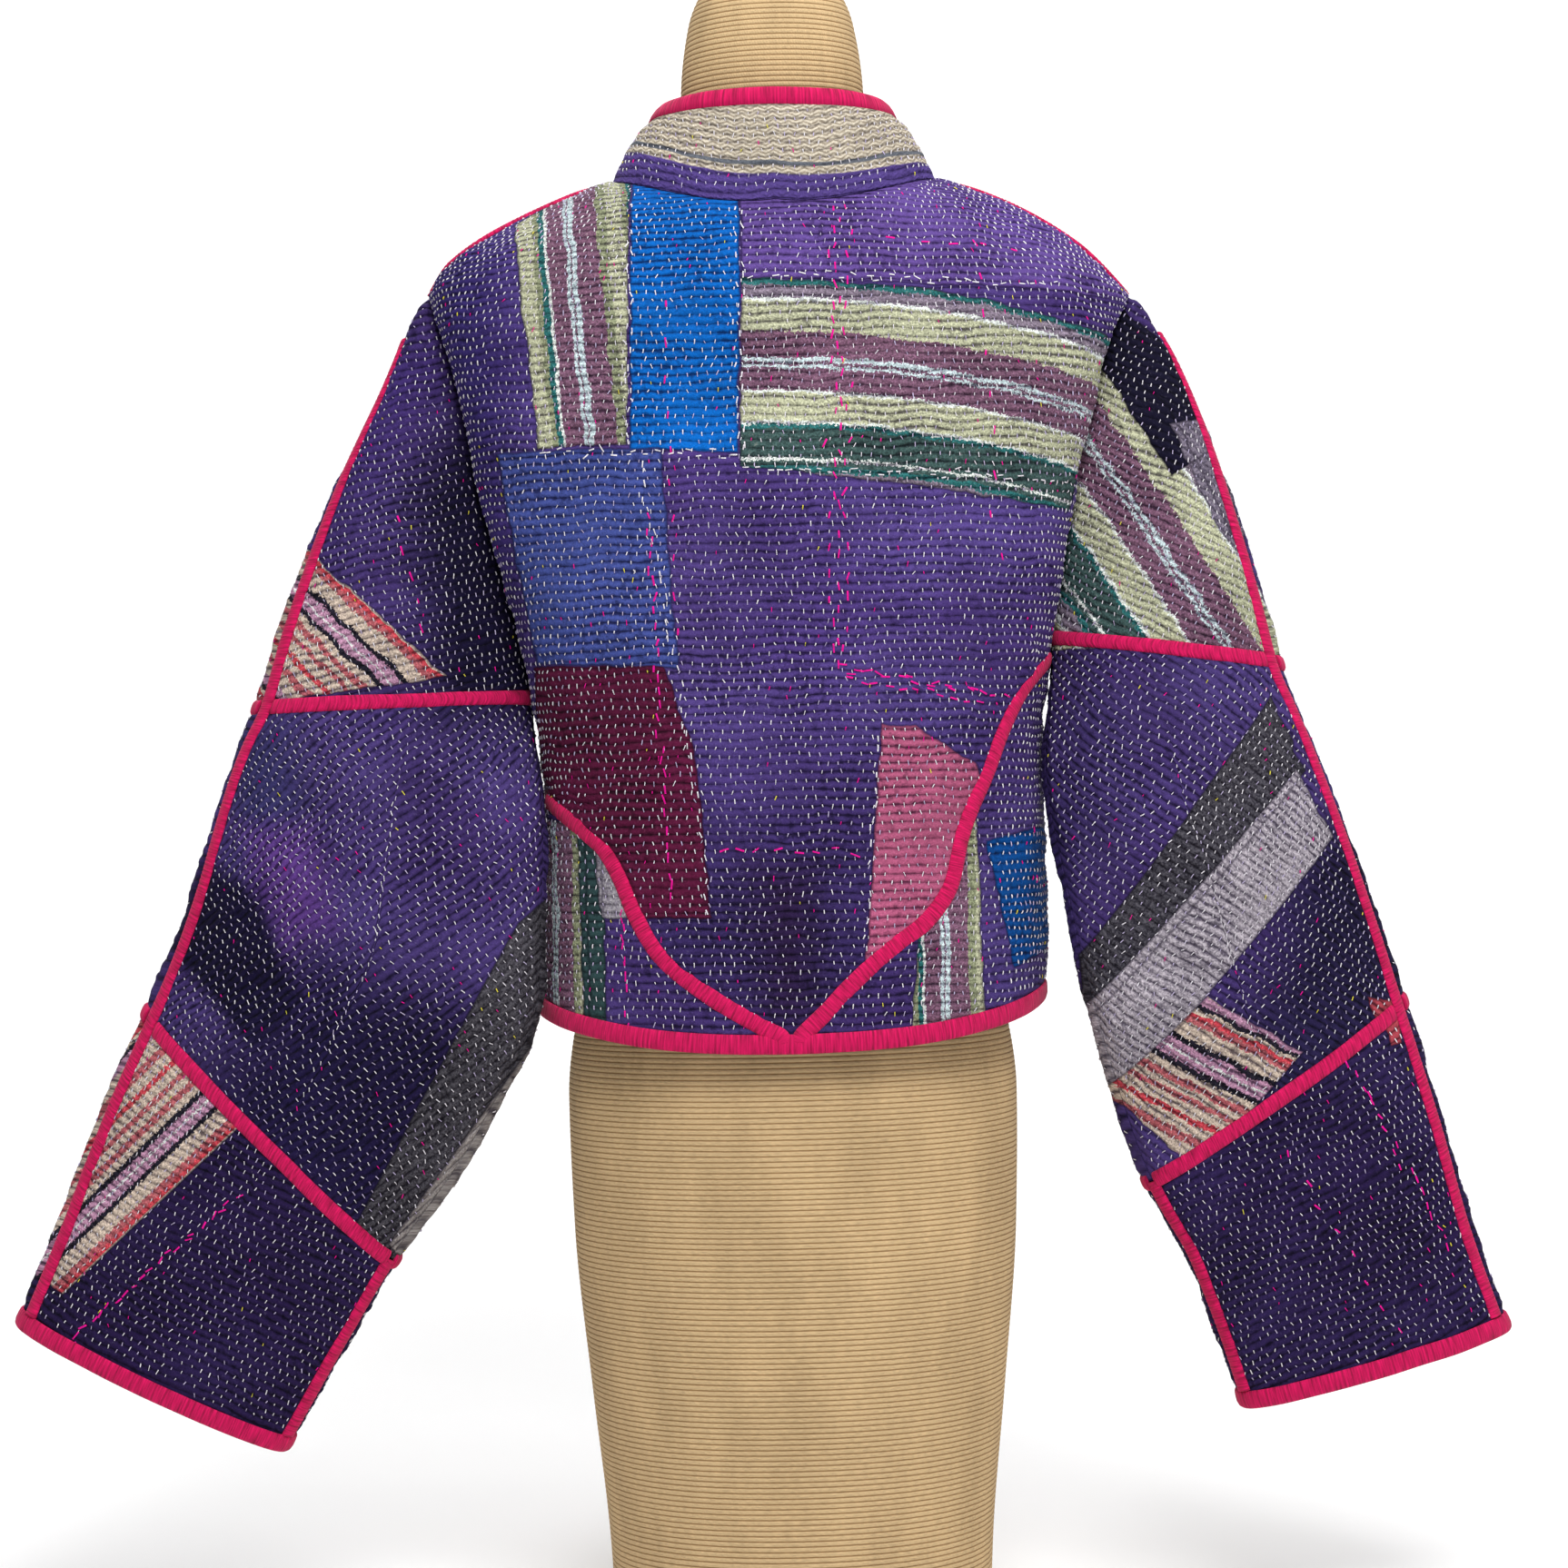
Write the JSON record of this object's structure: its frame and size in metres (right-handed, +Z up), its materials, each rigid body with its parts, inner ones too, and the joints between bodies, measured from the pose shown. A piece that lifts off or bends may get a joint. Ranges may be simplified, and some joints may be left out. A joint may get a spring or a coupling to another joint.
{
  "type": "kantha jacket on a dress form",
  "caption": "Cropped quilted patchwork jacket with a stand collar, wide pieced sleeves and pink seam tapes, standing open-fronted on a limbless twine-wound dress form.",
  "frame": {"origin": "centre of the dress form's flat base", "axes": "+Z up the dress form, the wearer faces -Y so the jacket's back faces +Y, and +X is the wearer's left"},
  "size_m": [0.9018, 0.2489, 1.018],
  "materials": {
    "quilt": "matte kantha-quilted cotton patchwork",
    "collar": "matte woven cotton",
    "pink": "cotton tape",
    "twine": "wound jute twine"
  },
  "bodies": {
    "root": {"back_panel": "quilt", "front_panel_left": "quilt", "front_panel_right": "quilt", "side_panel_left": "quilt", "side_panel_right": "quilt", "sleeve_left_upper_back": "quilt", "sleeve_left_upper_front": "quilt", "sleeve_left_middle_back": "quilt", "sleeve_left_middle_front": "quilt", "sleeve_left_lower_back": "quilt", "sleeve_left_lower_front": "quilt", "sleeve_right_upper_back": "quilt", "sleeve_right_upper_front": "quilt", "sleeve_right_middle_back": "quilt", "sleeve_right_middle_front": "quilt", "sleeve_right_lower_back": "quilt", "sleeve_right_lower_front": "quilt", "collar": "collar", "shoulder_tape_left": "pink", "curved_tape_back_left": "pink", "curved_tape_front_left": "pink", "outer_sleeve_tape_left": "pink", "underarm_tape_left": "pink", "high_cross_tape_left_back": "pink", "low_cross_tape_left_back": "pink", "high_cross_tape_left_front": "pink", "low_cross_tape_left_front": "pink", "cuff_binding_left": "pink", "front_binding_left": "pink", "shoulder_tape_right": "pink", "curved_tape_back_right": "pink", "curved_tape_front_right": "pink", "outer_sleeve_tape_right": "pink", "underarm_tape_right": "pink", "high_cross_tape_right_back": "pink", "low_cross_tape_right_back": "pink", "high_cross_tape_right_front": "pink", "low_cross_tape_right_front": "pink", "cuff_binding_right": "pink", "front_binding_right": "pink", "hem_binding": "pink", "collar_binding": "pink", "dress_form": "twine"}
  },
  "joints": []
}
